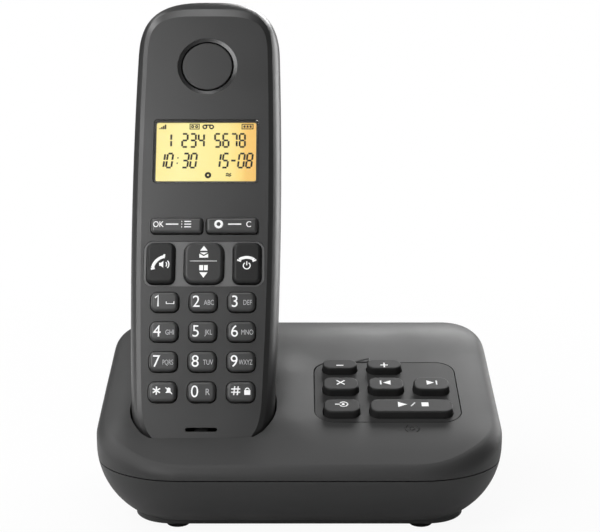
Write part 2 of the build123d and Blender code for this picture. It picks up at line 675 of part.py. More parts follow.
def contact_spring(side):
    """Coil spring between a contact's flange and the carrier's floor."""
    height = CONTACT_FLANGE_TOP - CONTACT_FLANGE_THICKNESS - CARRIER_TOP - 4 * SPRING_WIRE
    path = Helix(height / SPRING_TURNS, height, SPRING_RADIUS)
    section = Plane(path @ 0, z_dir=path % 0) * Circle(SPRING_WIRE)
    coil = Rot(-90, 0, 0) * sweep(section, path=path)
    start = CARRIER_TOP + 2 * SPRING_WIRE
    return on_handset(Pos(side * PAD_X, start, -PAD_DEPTH) * coil)


def contact_carrier():
    """Bridge under the cradle: a floor for both springs and a leg up to the well each end."""
    half = PAD_X + CONTACT_FLANGE[0] / 2 + FIT_GAP * 3
    leg = CARRIER_FLOOR
    half_z = CONTACT_FLANGE[1] / 2 + FIT_GAP
    z0, z1 = -PAD_DEPTH - half_z, -PAD_DEPTH + half_z
    carrier = block(-half - leg, half + leg, CARRIER_TOP - CARRIER_FLOOR, CARRIER_TOP, z0, z1)
    for side in (-1, 1):
        x0, x1 = sorted((side * half, side * (half + leg)))
        carrier += block(x0, x1, CARRIER_TOP, PAD_Y, z0, z1)
    return on_handset(single(carrier - handset_form(CRADLE_CLEARANCE + CRADLE_WALL)))


# ================================================================ handset: shells
BODY = handset_form(0)
CAVITY = handset_form(-HANDSET_WALL)
HUGE = HANDSET_LENGTH
RINGER_Y = TRAY_MIDDLE + TRAY_LENGTH / 2 + TRAY_RIM + RINGER_CLEARANCE + RINGER_RADIUS
MIC_Y = BOTTOM_Y + MIC_SET_BACK
BOARD_TOP = MAT_DEPTH + MAT_THICKNESS
RING_SLOT_LENGTH = 1.4 * RINGER_RADIUS
NUMBER_KEYS = {
    "key_1": (-1, 3), "key_2": (0, 3), "key_3": (1, 3),
    "key_4": (-1, 2), "key_5": (0, 2), "key_6": (1, 2),
    "key_7": (-1, 1), "key_8": (0, 1), "key_9": (1, 1),
    "key_star": (-1, 0), "key_0": (0, 0), "key_hash": (1, 0),
}


def layer(z0, z1):
    """Everything of the handset between two heights over the face."""
    return block(-HUGE, HUGE, -HUGE, 2 * HUGE, z0, z1)


def number_key_place(column, row):
    return column * KEY_PITCH_X, KEY_BOTTOM_ROW + row * KEY_PITCH_Y


def handset_key_shapes():
    """Place, size and corner of every handset key."""
    softkey_x = (SOFTKEY_WIDTH + SOFTKEY_SPLIT) / 2
    shapes = {
        "softkey_left": (-softkey_x, SOFTKEY_Y, SOFTKEY_WIDTH, SOFTKEY_HEIGHT, SOFTKEY_CORNER),
        "softkey_right": (softkey_x, SOFTKEY_Y, SOFTKEY_WIDTH, SOFTKEY_HEIGHT, SOFTKEY_CORNER),
        "talk_key": (-SIDE_KEY_X, PLATE_Y, SIDE_KEY_WIDTH, FUNCTION_KEY_HEIGHT, KEY_CORNER),
        "navigation_key": (0.0, PLATE_Y, NAVIGATION_WIDTH, FUNCTION_KEY_HEIGHT, NAVIGATION_CORNER),
        "end_key": (SIDE_KEY_X, PLATE_Y, SIDE_KEY_WIDTH, FUNCTION_KEY_HEIGHT, KEY_CORNER),
    }
    for name, place in NUMBER_KEYS.items():
        shapes[name] = (*number_key_place(*place), KEY_WIDTH, KEY_HEIGHT, KEY_CORNER)
    return shapes


KEY_SHAPES = handset_key_shapes()


def key_holes():
    """Openings for all handset keys through face and plate."""
    holes = []
    for x, y, width, height, corner in KEY_SHAPES.values():
        hole = Pos(x, y) * key_opening(width, height, corner, KEY_GAP)
        holes.append(prism(hole, -HANDSET_WALL - 1, 1))
    return holes


def posts(z0, z1):
    """Pillars between the front cover and the circuit board."""
    pillars = [drum(POST_RADIUS, side * x, y, z0, z1) for x, y in POST_PLACES for side in (-1, 1)]
    return pillars


def handset_front_cover():
    """Front half: face with openings for window, keys, earpiece and microphone."""
    cover = (BODY - CAVITY) & layer(-SEAM_DEPTH, 1)
    x, y = HANDSET_SCREW_PLACE
    for side in (-1, 1):
        cover += drum(HANDSET_BOSS_RADIUS, side * x, y, -SEAM_DEPTH, -HANDSET_WALL / 2)
    cover += posts(-BOARD_TOP, -HANDSET_WALL / 2)
    for side in (-1, 1):
        cover -= drum(HANDSET_SCREW_RADIUS, side * x, y, -SEAM_DEPTH - 1, -HANDSET_WALL - 1)
    cover -= key_holes()
    recess = Pos(0, PLATE_Y) * key_opening(PLATE_WIDTH, PLATE_HEIGHT, PLATE_CORNER, FIT_GAP)
    cover -= prism(recess, -PLATE_RECESS - PLATE_THICKNESS, 1)
    seat = Pos(0, WINDOW_Y) * key_opening(WINDOW_WIDTH, WINDOW_HEIGHT, WINDOW_CORNER, FIT_GAP)
    cover -= prism(seat, -WINDOW_THICKNESS, 1)
    sight = pad(0, WINDOW_Y, WINDOW_WIDTH - 2 * WINDOW_LEDGE, WINDOW_HEIGHT - 2 * WINDOW_LEDGE,
                LCD_CORNER)
    cover -= prism(sight, -HANDSET_WALL - 1, 1)
    cover -= drum(EARPIECE_HOLE, 0, EARPIECE_Y, -HANDSET_WALL - 1, 1)
    cover -= prism(Pos(0, MIC_Y) * SlotOverall(*MIC_SLOT), -HANDSET_WALL - 1, 1)
    return on_handset(single(cover))


def tray_box(half_width, length, z0, z1):
    return block(-half_width, half_width, TRAY_MIDDLE - length / 2, TRAY_MIDDLE + length / 2, z0, z1)


def door_region(gap, z0):
    half_width = TRAY_HALF_WIDTH + DOOR_LEDGE - gap
    length = TRAY_LENGTH + 2 * (DOOR_LEDGE - gap)
    return tray_box(half_width, length, z0, z0 + 2 * DOOR_THICKNESS)


def handset_rear_cover():
    """Back half with the battery tray, ringer slots and screw holes."""
    cover = (BODY - CAVITY) & layer(-HANDSET_THICKNESS - 1, -SEAM_DEPTH - SEAM_GAP)
    outer = tray_box(TRAY_HALF_WIDTH + TRAY_RIM, TRAY_LENGTH + 2 * TRAY_RIM, -HUGE, -TRAY_DEPTH)
    cover += outer & BODY
    x, y = HANDSET_SCREW_PLACE
    for side in (-1, 1):
        cover += drum(HANDSET_BOSS_RADIUS, side * x, y, -HUGE, -SEAM_DEPTH) & BODY
    for side in (-1, 1):
        cover -= drum(HANDSET_SCREW_RADIUS + FIT_GAP, side * x, y, -HUGE, 0)
        cover -= drum(HANDSET_HEAD_RADIUS + FIT_GAP, side * x, y, -HUGE, -SCREW_SEAT_DEPTH)
    cover -= tray_box(TRAY_HALF_WIDTH, TRAY_LENGTH, -HUGE, -TRAY_DEPTH - TRAY_FLOOR)
    floor = -HANDSET_THICKNESS + DOOR_THICKNESS
    cover -= door_region(0, floor - 2 * DOOR_THICKNESS)
    for i in (-1, 0, 1):
        slot = Pos(0, RINGER_Y + i * RINGER_SLOT_PITCH) * SlotOverall(RING_SLOT_LENGTH, RINGER_SLOT_WIDTH)
        cover -= prism(slot, -HUGE, -HANDSET_THICKNESS + 2 * HANDSET_WALL)
    for side in (-1, 1):
        cover -= charging_pad(side, FIT_GAP)
    return on_handset(single(cover))


def battery_door():
    """Removable cover of the battery tray, flush with the back."""
    floor = -HANDSET_THICKNESS + DOOR_THICKNESS
    return on_handset(single(BODY & door_region(DOOR_GAP, floor - 2 * DOOR_THICKNESS)))


# ================================================================ handset: face pieces
def display_window():
    window = pad(0, WINDOW_Y, WINDOW_WIDTH, WINDOW_HEIGHT, WINDOW_CORNER)
    return on_handset(prism(window, -WINDOW_THICKNESS, 0))


def lcd_panel():
    top = -HANDSET_WALL - LCD_GAP
    panel = pad(0, WINDOW_Y, WINDOW_WIDTH, WINDOW_HEIGHT, LCD_CORNER)
    return on_handset(prism(panel, top - LCD_THICKNESS, top))


def lcd_backlight():
    """Light guide between the panel and the circuit board."""
    top = -HANDSET_WALL - LCD_GAP - LCD_THICKNESS
    guide = pad(0, WINDOW_Y, WINDOW_WIDTH + LCD_MARGIN, WINDOW_HEIGHT + LCD_MARGIN, LCD_CORNER)
    return on_handset(prism(guide, -BOARD_TOP, top))


def earpiece_disc():
    """Round cover of the earpiece; the ring-shaped gap around it lets the sound out."""
    disc = drum(EARPIECE_RADIUS, 0, EARPIECE_Y, -HANDSET_WALL, -EARPIECE_SET_BACK)
    disc = fillet(disc.edges().group_by(Axis.Z)[-1], EARPIECE_ROUNDING)
    bottom = -HANDSET_WALL - EARPIECE_FLANGE_THICKNESS
    disc += drum(EARPIECE_FLANGE, 0, EARPIECE_Y, bottom, -HANDSET_WALL)
    return on_handset(disc)


def earpiece_speaker():
    top = -HANDSET_WALL - EARPIECE_FLANGE_THICKNESS
    return on_handset(drum(EARPIECE_RADIUS, 0, EARPIECE_Y, top - EARPIECE_SPEAKER_HEIGHT, top))


def function_key_plate():
    """Thin plate around the talk, navigation and end keys."""
    top = -PLATE_RECESS
    plate = prism(pad(0, PLATE_Y, PLATE_WIDTH, PLATE_HEIGHT, PLATE_CORNER), top - PLATE_THICKNESS, top)
    return on_handset(plate - key_holes())


def handset_key(name):
    """Key cap that stands out of the face, with a flange that keeps it in."""
    x, y, width, height, corner = KEY_SHAPES[name]
    gap = ROCKER_FLANGE_GAP if name == "navigation_key" else FLANGE_GAP
    top = -HANDSET_WALL - gap
    cap = prism(pad(x, y, width, height, corner), top, KEY_RISE)
    cap = fillet(cap.edges().group_by(Axis.Z)[-1], KEY_ROUNDING)
    flange = Pos(x, y) * key_opening(width, height, corner, KEY_FLANGE)
    return on_handset(cap + prism(flange, top - KEY_FLANGE_THICKNESS, top))


# ================================================================ handset: inside
def handset_keymat():
    half_length = (MAT_REACH[1] - MAT_REACH[0]) / 2
    middle = (MAT_REACH[1] + MAT_REACH[0]) / 2
    mat = pad(0, middle, 2 * MAT_HALF_WIDTH, 2 * half_length, 2)
    mat = prism(mat, -BOARD_TOP, -MAT_DEPTH)
    return on_handset(single(mat))


def handset_circuit_board():
    length = BOARD_REACH[1] - BOARD_REACH[0]
    middle = (BOARD_REACH[1] + BOARD_REACH[0]) / 2
    board = pad(0, middle, 2 * BOARD_HALF_WIDTH, length, 2)
    return on_handset(prism(board, -BOARD_TOP - BOARD_THICKNESS, -BOARD_TOP))


def handset_antenna():
    """Sheet antenna standing on the board's rear face near the top end."""
    back = -BOARD_TOP - BOARD_THICKNESS
    width, length, height = HANDSET_ANTENNA
    middle = BOARD_REACH[1] - length / 2 - FIT_GAP
    return on_handset(Pos(0, middle, back - height / 2) * Box(width, length, height))


def battery_cells():
    """Two cells side by side on the tray's floor."""
    cells = []
    z = -TRAY_DEPTH - TRAY_FLOOR - FIT_GAP - CELL_RADIUS
    for side in (-1, 1):
        cell = Rot(90, 0, 0) * Cylinder(CELL_RADIUS, CELL_LENGTH)
        x = side * (CELL_RADIUS + CELL_GAP / 2)
        nub = Rot(90, 0, 0) * Cylinder(CELL_NUB_RADIUS, CELL_NUB_HEIGHT)
        cell += Pos(0, side * (CELL_LENGTH + CELL_NUB_HEIGHT) / 2, 0) * nub
        cells.append(on_handset(Pos(x, TRAY_MIDDLE, z) * cell))
    return cells


def battery_contacts():
    """A plate on each end wall of the tray, and a coned spring on the two that need one."""
    contacts = []
    z = -TRAY_DEPTH - TRAY_FLOOR - FIT_GAP - CELL_RADIUS
    for side in (-1, 1):
        for end in (-1, 1):
            x = side * (CELL_RADIUS + CELL_GAP / 2)
            wall = TRAY_MIDDLE + end * TRAY_LENGTH / 2
            plate = Box(CONTACT_PLATE_WIDTH, CONTACT_PLATE, CONTACT_PLATE_WIDTH)
            plate = Pos(x, wall - end * CONTACT_PLATE / 2, z) * plate
            nub = CELL_LENGTH / 2 + (CELL_NUB_HEIGHT if side == end else 0)
            reach = TRAY_LENGTH / 2 - CONTACT_PLATE - nub - CONTACT_GAP
            cone = Rot(-90 * end, 0, 0) * Cone(CONTACT_CONE_RADIUS / 2, CONTACT_CONE_RADIUS, reach)
            middle = wall - end * (CONTACT_PLATE + reach / 2)
            contacts.append(on_handset(plate + Pos(x, middle, z) * cone))
    return contacts


def handset_microphone():
    return on_handset(drum(MIC_RADIUS, 0, MIC_Y, -HANDSET_WALL - MIC_HEIGHT, -HANDSET_WALL))


def ringer_speaker():
    rear = -HANDSET_THICKNESS + HANDSET_WALL
    return on_handset(drum(RINGER_RADIUS, 0, RINGER_Y, rear, rear + RINGER_HEIGHT))


def charging_pad(side, gap):
    width, thickness, depth = PAD_SIZE
    x = side * PAD_X
    y0 = PAD_Y if gap == 0 else 0
    y1 = PAD_Y + thickness + gap
    return block(x - width / 2 - gap, x + width / 2 + gap, y0, y1,
                 -PAD_DEPTH - depth / 2 - gap, -PAD_DEPTH + depth / 2 + gap)


def handset_screws():
    screws = []
    x, y = HANDSET_SCREW_PLACE
    for side in (-1, 1):
        shank = HANDSET_SCREW_RADIUS - FIT_GAP / 2
        screw = drum(shank, side * x, y, -SCREW_SEAT_DEPTH, -SCREW_END_DEPTH)
        head_end = -SCREW_SEAT_DEPTH - HANDSET_HEAD_HEIGHT
        screw += drum(HANDSET_HEAD_RADIUS, side * x, y, head_end, -SCREW_SEAT_DEPTH)
        screws.append(on_handset(screw))
    return screws


# ================================================================ every node
os.makedirs("parts", exist_ok=True)
save("base_top_cover", base_top_cover())
save("base_bottom_shell", base_bottom_shell())
save("key_panel", key_panel())
for name, shape in BASE_KEYS.items():
    save(name, base_key(*shape))
save("base_keymat", base_keymat())
save("key_circuit_board", key_circuit_board())
save("base_circuit_board", base_circuit_board())
save("base_speaker", base_speaker())
save("line_socket", modular_socket(LINE_SOCKET_X, LINE_SOCKET_WIDTH, LINE_PLUG_WIDTH))
save("power_socket", modular_socket(POWER_SOCKET_X, POWER_SOCKET_WIDTH, POWER_PLUG_WIDTH))
save("socket_contacts", *socket_contacts())
save("base_antennas", *base_antennas())
save("base_feet", *base_feet())
save("base_screws", *base_screws())
for name, side in (("left", -1), ("right", 1)):
    save(f"charging_contact_{name}", charging_contact(side))
    save(f"contact_spring_{name}", contact_spring(side))
save("contact_carrier", contact_carrier())
save("handset_front_cover", handset_front_cover())
save("handset_rear_cover", handset_rear_cover())
save("battery_door", battery_door())
save("battery_cells", *battery_cells())
save("battery_contacts", *battery_contacts())
save("display_window", display_window())
save("lcd_panel", lcd_panel())
save("lcd_backlight", lcd_backlight())
save("earpiece_disc", earpiece_disc())
save("earpiece_speaker", earpiece_speaker())
save("function_key_plate", function_key_plate())
for name in KEY_SHAPES:
    save(name, handset_key(name))
save("handset_keymat", handset_keymat())
save("handset_circuit_board", handset_circuit_board())
save("handset_antenna", handset_antenna())
save("handset_microphone", handset_microphone())
save("ringer_speaker", ringer_speaker())
save("handset_charging_pads", on_handset(charging_pad(-1, 0)), on_handset(charging_pad(1, 0)))
save("handset_screws", *handset_screws())
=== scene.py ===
import json
from math import cos, pi, radians, sin

import bmesh
import bpy
from mathutils import Matrix, Vector

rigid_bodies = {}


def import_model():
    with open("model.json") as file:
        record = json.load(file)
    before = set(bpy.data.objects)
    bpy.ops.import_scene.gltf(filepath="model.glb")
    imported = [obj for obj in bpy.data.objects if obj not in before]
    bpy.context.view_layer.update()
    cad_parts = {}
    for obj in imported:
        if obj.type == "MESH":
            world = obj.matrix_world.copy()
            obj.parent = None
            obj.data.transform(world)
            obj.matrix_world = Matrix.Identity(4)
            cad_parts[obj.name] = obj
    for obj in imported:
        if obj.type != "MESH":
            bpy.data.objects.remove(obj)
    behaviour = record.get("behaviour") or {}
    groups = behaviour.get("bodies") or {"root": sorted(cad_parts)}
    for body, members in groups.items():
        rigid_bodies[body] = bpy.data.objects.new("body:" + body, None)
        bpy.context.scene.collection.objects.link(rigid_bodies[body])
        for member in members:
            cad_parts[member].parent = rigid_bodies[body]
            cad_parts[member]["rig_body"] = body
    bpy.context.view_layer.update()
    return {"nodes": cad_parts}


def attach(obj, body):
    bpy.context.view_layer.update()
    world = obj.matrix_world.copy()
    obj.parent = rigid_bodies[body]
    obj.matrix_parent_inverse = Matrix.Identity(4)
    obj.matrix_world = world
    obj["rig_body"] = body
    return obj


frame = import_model()

# Telephone answering machine: a low base with message keys, and its cordless handset standing in
# the cradle.  Metres, X to the right, Y to the back, Z up.  Faces are drawn in millimetres.


# ---------------------------------------------------------------- camera
# Straight in front of the base and ten degrees down, nearly half a metre away with a long lens, so
# that upright edges stay close to upright.
camera = bpy.data.objects.new("camera", bpy.data.cameras.new("camera"))
camera.location = (0.0002, -0.4585, 0.157)
camera.rotation_euler = (radians(80), 0, 0)
camera.data.lens = 85
camera.data.sensor_width = 36
camera.data.clip_start = 0.02
bpy.context.scene.collection.objects.link(camera)
bpy.context.scene.camera = camera
bpy.context.scene.view_settings.view_transform = "Standard"


# ---------------------------------------------------------------- housing of the base
# Two ABS mouldings screwed together from below.  The tool is spark eroded, so the plastic has a
# fine even grain that scatters the light, and the parting line between them is a thin dark groove.
PATCH = 18


def colour(code):
    """sRGB hex code as a linear colour."""
    parts = [int(code[i:i + 2], 16) / 255 for i in (1, 3, 5)]
    return [p / 12.92 if p <= 0.04045 else ((p + 0.055) / 1.055) ** 2.4 for p in parts] + [1]


def add(tree, kind, inputs=None, **settings):
    """A node with its settings, its values and the sockets that feed it."""
    made = tree.nodes.new(kind)
    for key, value in settings.items():
        setattr(made, key, value)
    for key, value in (inputs or {}).items():
        if isinstance(value, bpy.types.NodeSocket):
            tree.links.new(value, made.inputs[key])
        else:
            made.inputs[key].default_value = value
    return made


def material(name, values):
    """A new material, its node tree, and its shader with these values on its own sockets."""
    finish = bpy.data.materials.new(name)
    finish.use_nodes = True
    skin = finish.node_tree.nodes["Principled BSDF"]
    for socket, value in values.items():
        skin.inputs[socket].default_value = value
    return finish, finish.node_tree, skin


def moulded(name, shade, light, roughness, grain, relief, gloss=0.35):
    """Moulded plastic, rubber or ink: two near shades in slow patches under a fine grain.  The
    patches, the grain and its relief are in millimetres.  A real grain is finer than that, too
    fine to show, and is drawn as coarse as it needs to be."""
    finish, tree, skin = material(name, {"IOR": 1.53, "Specular IOR Level": gloss})
    place = add(tree, "ShaderNodeTexCoord").outputs["Object"]
    slow = add(tree, "ShaderNodeTexNoise", {"Vector": place, "Scale": 1000 / PATCH, "Detail": 3})
    tint = add(tree, "ShaderNodeMix", {"Factor": slow.outputs["Fac"], "A": colour(shade),
                                       "B": colour(light)}, data_type="RGBA")
    tree.links.new(tint.outputs["Result"], skin.inputs["Base Color"])
    polish = add(tree, "ShaderNodeMapRange", {"Value": slow.outputs["Fac"], "From Min": 0.3,
                                              "From Max": 0.7, "To Min": roughness - 0.03,
                                              "To Max": roughness + 0.04})
    tree.links.new(polish.outputs["Result"], skin.inputs["Roughness"])
    fine = add(tree, "ShaderNodeTexNoise", {"Vector": place, "Scale": 1000 / grain, "Detail": 2,
                                            "Roughness": 0.6})
    bump = add(tree, "ShaderNodeBump", {"Height": fine.outputs["Fac"], "Distance": relief / 1000})
    tree.links.new(bump.outputs["Normal"], skin.inputs["Normal"])
    return finish


def dress(finish, *nodes):
    """Gives the CAD pieces their finish."""
    for name in nodes:
        for place in frame["nodes"][name].material_slots:
            place.material = finish


# Dark neutral grey with a broad soft sheen.
base_abs = moulded("ABS, spark-eroded, anthracite", "#323232", "#363636", 0.5, 0.4, 0.006, 0.25)
dress(base_abs, "base_top_cover", "base_bottom_shell")


# ---------------------------------------------------------------- signs raised on the top cover
# A wedge for the volume and a sign for the microphone, moulded with the cover in the same plastic
# and standing a fraction of a millimetre proud, so that only their edges catch the light.
def leaning_face(middle, lean):
    """A face to draw on in millimetres, from its middle in metres and its lean in degrees."""
    return Matrix.Translation(middle) @ Matrix.Rotation(radians(lean), 4, "X") @ Matrix.Scale(0.001, 4)


def arc(x, y, radius, start, end, steps=12):
    turns = [radians(start + (end - start) * i / steps) for i in range(steps + 1)]
    return [(x + radius * cos(t), y + radius * sin(t)) for t in turns]


def add_run(curve, points, closed):
    """One more run of straight lines in a curve."""
    spline = curve.splines.new("POLY")
    spline.points.add(len(points) - 1)
    for point, (x, y) in zip(spline.points, points):
        point.co = (x, y, 0, 1)
    spline.use_cyclic_u = closed


def curve_mesh(data, place):
    """The mesh of a curve or of words, moved to its place."""
    drawn = bpy.data.objects.new("drawn", data)
    bpy.context.scene.collection.objects.link(drawn)
    mesh = bpy.data.meshes.new_from_object(drawn.evaluated_get(bpy.context.evaluated_depsgraph_get()))
    bpy.data.objects.remove(drawn)
    mesh.transform(place)
    return mesh


def sign(name, node, face, finish, lines=(), fills=(), words=(), thick=0.02):
    """Thin sign laid on a node, drawn as seen along a face: lines are (width, points), fills are
    outlines, words are (text, x, y, size, narrowing)."""
    bm = bmesh.new()
    for width, points in lines:
        stroke = bpy.data.curves.new("stroke", "CURVE")
        stroke.dimensions = "3D"
        stroke.bevel_depth = width / 2
        stroke.bevel_resolution = 2
        stroke.use_fill_caps = True
        closed = points[0] == points[-1]
        add_run(stroke, points[:-1] if closed else points, closed)
        bm.from_mesh(curve_mesh(stroke, face @ Matrix.Diagonal((1, 1, 2 * thick / width, 1))))
    if fills:
        plate = bpy.data.curves.new("plate", "CURVE")
        plate.dimensions = "2D"
        plate.fill_mode = "BOTH"
        plate.extrude = thick
        for points in fills:
            add_run(plate, points, True)
        bm.from_mesh(curve_mesh(plate, face))
    for text, x, y, size, narrow in words:
        word = bpy.data.curves.new("word", "FONT")
        word.body = text
        word.size = size
        word.align_x = "CENTER"
        word.extrude = thick
        place = face @ Matrix.Translation((x, y, 0)) @ Matrix.Diagonal((narrow, 1, 1, 1))
        bm.from_mesh(curve_mesh(word, place))
    carrier = frame["nodes"][node]
    above = 9
    out = face.to_3x3() @ Vector((0, 0, 1))
    for corner in bm.verts:
        x, y, z = face.inverted() @ corner.co
        hit, under, _, _ = carrier.ray_cast(face @ Vector((x, y, above)), -out.normalized())
        if hit:
            corner.co = under + out * z
    mesh = bpy.data.meshes.new(name)
    bm.to_mesh(mesh)
    bm.free()
    mesh.materials.append(finish)
    piece = bpy.data.objects.new(name, mesh)
    bpy.context.scene.collection.objects.link(piece)
    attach(piece, carrier["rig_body"])
    return piece


panel_face = leaning_face((0.0281, -0.0127, 0.0371), 17.5)
RAISED_LINE = 0.35
wedge = sign("volume_wedge", "base_top_cover", panel_face, base_abs,
             lines=[(RAISED_LINE, [(-9.8, 18.1), (-4.9, 18.3), (-4.6, 20.6), (-9.8, 18.1)])], thick=0.2)

SPOT_X, SPOT_Y = 7.0, -21.4
spot_and_waves = (arc(SPOT_X, SPOT_Y, 0.8, 0, 360), arc(SPOT_X, SPOT_Y, 2.1, 130, 230),
                  arc(SPOT_X, SPOT_Y, 2.1, -50, 50))
hearing = sign("microphone_sign", "base_top_cover", panel_face, base_abs,
               lines=[(RAISED_LINE, points) for points in spot_and_waves], thick=0.22)


# ---------------------------------------------------------------- feet and screws of the base
# Four dull rubber feet glued under the plinth, and self-tapping screws in deep wells, whose zinc
# plating gives them a pale, slightly mottled shine.
foot_rubber = moulded("thermoplastic rubber, matt black", "#161616", "#1b1b1b", 0.8, 0.6, 0.01, 0.2)
dress(foot_rubber, "base_feet")

MARK_DEPTH = 0.004


def metal(name, shade, dull, roughness, grain):
    """Metal with slightly duller patches and fine marks of so many mm."""
    finish, tree, skin = material(name, {"Metallic": 1})
    place = add(tree, "ShaderNodeTexCoord").outputs["Object"]
    marks = add(tree, "ShaderNodeTexNoise", {"Vector": place, "Scale": 1000 / grain, "Detail": 4})
    ramp = add(tree, "ShaderNodeValToRGB", {"Fac": marks.outputs["Fac"]})
    ramp.color_ramp.elements[0].color = colour(dull)
    ramp.color_ramp.elements[1].color = colour(shade)
    tree.links.new(ramp.outputs["Color"], skin.inputs["Base Color"])
    polish = add(tree, "ShaderNodeMapRange", {"Value": marks.outputs["Fac"],
                                              "To Min": roughness + 0.08, "To Max": roughness})
    tree.links.new(polish.outputs["Result"], skin.inputs["Roughness"])
    bump = add(tree, "ShaderNodeBump", {"Height": marks.outputs["Fac"], "Distance": MARK_DEPTH / 1000})
    tree.links.new(bump.outputs["Normal"], skin.inputs["Normal"])
    return finish


plated_steel = metal("steel, zinc plated", "#c9ccd0", "#a9adb2", 0.28, 1.2)
dress(plated_steel, "base_screws", "handset_screws")


# ---------------------------------------------------------------- electronics
# Glass-fibre boards under green solder resist, with the copper tracks showing as lighter lines,
# loudspeakers with a paper cone, modular sockets of black nylon with gilt wires, tinned antennas,
# and keymats of soft grey silicone.
solder_resist, tree, skin = material("glass-fibre board, green solder resist", {"Roughness": 0.3})
# Fields of 5.8 by 2.1 mm, much coarser than real tracks, which would be too fine to show.
tracks = add(tree, "ShaderNodeTexBrick",
             {"Vector": add(tree, "ShaderNodeTexCoord").outputs["Object"], "Color1": colour("#1f5a34"),
              "Color2": colour("#246339"), "Mortar": colour("#3f8a55"), "Scale": 120,
              "Mortar Size": 0.05, "Brick Width": 0.7})
tree.links.new(tracks.outputs["Color"], skin.inputs["Base Color"])
bump = add(tree, "ShaderNodeBump", {"Height": tracks.outputs["Fac"], "Distance": 0.00003})
tree.links.new(bump.outputs["Normal"], skin.inputs["Normal"])
dress(solder_resist, "base_circuit_board", "key_circuit_board", "handset_circuit_board")

speaker_paper = moulded("pressed paper and lacquered steel", "#202123", "#2a2b2d", 0.6, 1.0, 0.02)
dress(speaker_paper, "base_speaker", "earpiece_speaker", "ringer_speaker")
dress(foot_rubber, "handset_microphone")
nylon = moulded("nylon, glass filled, black", "#17181a", "#1e1f21", 0.38, 0.5, 0.004)
dress(nylon, "line_socket", "power_socket", "contact_carrier")
gold = metal("phosphor bronze, gold flashed", "#e0b45c", "#c2933f", 0.22, 0.8)
dress(gold, "socket_contacts", "handset_charging_pads")
tinned_steel = metal("tinned steel sheet", "#b9bcc0", "#9fa3a8", 0.35, 2.0)
dress(tinned_steel, "base_antennas", "handset_antenna")
silicone = moulded("silicone rubber, keymat, grey", "#6d7074", "#777a7e", 0.7, 0.8, 0.008)
dress(silicone, "base_keymat", "handset_keymat")


# ---------------------------------------------------------------- cells
# Two AAA cells in smooth white shrink sleeves, side by side in the handset's tray behind the door,
# between contact plates of plated sheet steel.
cell_sleeve = moulded("PVC shrink sleeve, white", "#d9dbdc", "#e4e6e7", 0.35, 2.0, 0.01)
dress(cell_sleeve, "battery_cells")
dress(plated_steel, "battery_contacts")


# ---------------------------------------------------------------- charging contacts
# Brass bars that stand through the cradle's floor on coil springs.  Their nickel plating has a
# slightly warm shine.
nickel = metal("brass, nickel plated", "#cfc9bd", "#b3ada1", 0.25, 0.9)
dress(nickel, "charging_contact_left", "charging_contact_right", "contact_spring_left",
      "contact_spring_right")


# ---------------------------------------------------------------- key panel and its keys
# One ABS plate with seven holes, and a cap in each that stands well proud.  The caps are darker
# and duller than the cover, and the signs are printed on them in white ink.
panel_abs = moulded("ABS, spark-eroded, key panel", "#2e2e2e", "#323232", 0.52, 0.4, 0.006, 0.2)
dress(panel_abs, "key_panel")
base_cap = moulded("ABS, fine grain, key caps", "#282828", "#2c2c2c", 0.46, 0.3, 0.004, 0.13)
ink = moulded("screen-printed ink, white", "#fafafa", "#ffffff", 0.5, 0.3, 0.002)


def triangle(x, y, width, height):
    """Outline that points right for a positive width."""
    return [(x - width / 2, y - height / 2), (x + width / 2, y), (x - width / 2, y + height / 2)]


def box_outline(x, y, width, height):
    return [(x - width / 2, y - height / 2), (x + width / 2, y - height / 2),
            (x + width / 2, y + height / 2), (x - width / 2, y + height / 2)]


# Each sign stands on its key, in millimetres from the panel's middle.
BOLD_LINE = 0.5
left, middle, right = -14.7, 0.0, 14.7
base_signs = {
    "key_volume_down": {"lines": [(BOLD_LINE, [(left - 1.2, 12.2), (left + 1.2, 12.2)])]},
    "key_volume_up": {"lines": [(BOLD_LINE, [(middle - 1.2, 12.4), (middle + 1.2, 12.4)]),
                                (BOLD_LINE, [(middle, 11.0), (middle, 13.8)])]},
    "key_delete": {"lines": [(BOLD_LINE, [(left - 1.3, 0.4), (left + 1.3, 2.8)]),
                             (BOLD_LINE, [(left - 1.3, 2.8), (left + 1.3, 0.4)])]},
    "key_previous": {"lines": [(BOLD_LINE, [(middle - 1.7, 0.3), (middle - 1.7, 2.7)])],
                     "fills": [triangle(middle + 0.3, 1.5, -2.4, 2.6)]},
    "key_next": {"lines": [(BOLD_LINE, [(right + 1.7, 0.3), (right + 1.7, 2.7)])],
                 "fills": [triangle(right - 0.3, 1.5, 2.4, 2.6)]},
    "key_paging": {"lines": [(0.45, arc(left + 0.6, -11.3, 1.3, -150, 150)),
                             (BOLD_LINE, [(left - 0.6, -11.3), (left - 2.1, -11.3)])],
                   "fills": [arc(left + 0.5, -11.3, 0.5, 0, 330)]},
    "key_play_stop": {"lines": [(0.4, [(7.2, -12.4), (8.6, -10.4)])],
                      "fills": [triangle(4.6, -11.4, 2.9, 2.8), box_outline(11.7, -11.4, 2.2, 2.2)]},
}
for key, drawing in base_signs.items():
    dress(base_cap, key)
    sign(key + "_sign", key, panel_face, ink, **drawing)


# ---------------------------------------------------------------- handset housing
# Front and rear shells and the battery door, moulded in one ABS grade with a finer, silkier grain
# than the base, closed by two screws from behind.
handset_abs = moulded("ABS, silk finish, anthracite", "#242424", "#282828", 0.36, 0.25, 0.0025, 0.44)
dress(handset_abs, "handset_front_cover", "handset_rear_cover", "battery_door", "earpiece_disc")


# ---------------------------------------------------------------- earpiece ring and felt
# The opening's wall is a moulded ring that slopes in to a narrow slit round the disc, so that its
# side away from a lamp lights up.  Thin acoustic felt lies on the disc's flange below the slit, and
# its near-black colour is painted shade, standing in for the shadow down in the slit.
handset_face = leaning_face((-0.0304, -0.0402, 0.0223), 65.3)
EARPIECE_Y = 130.4


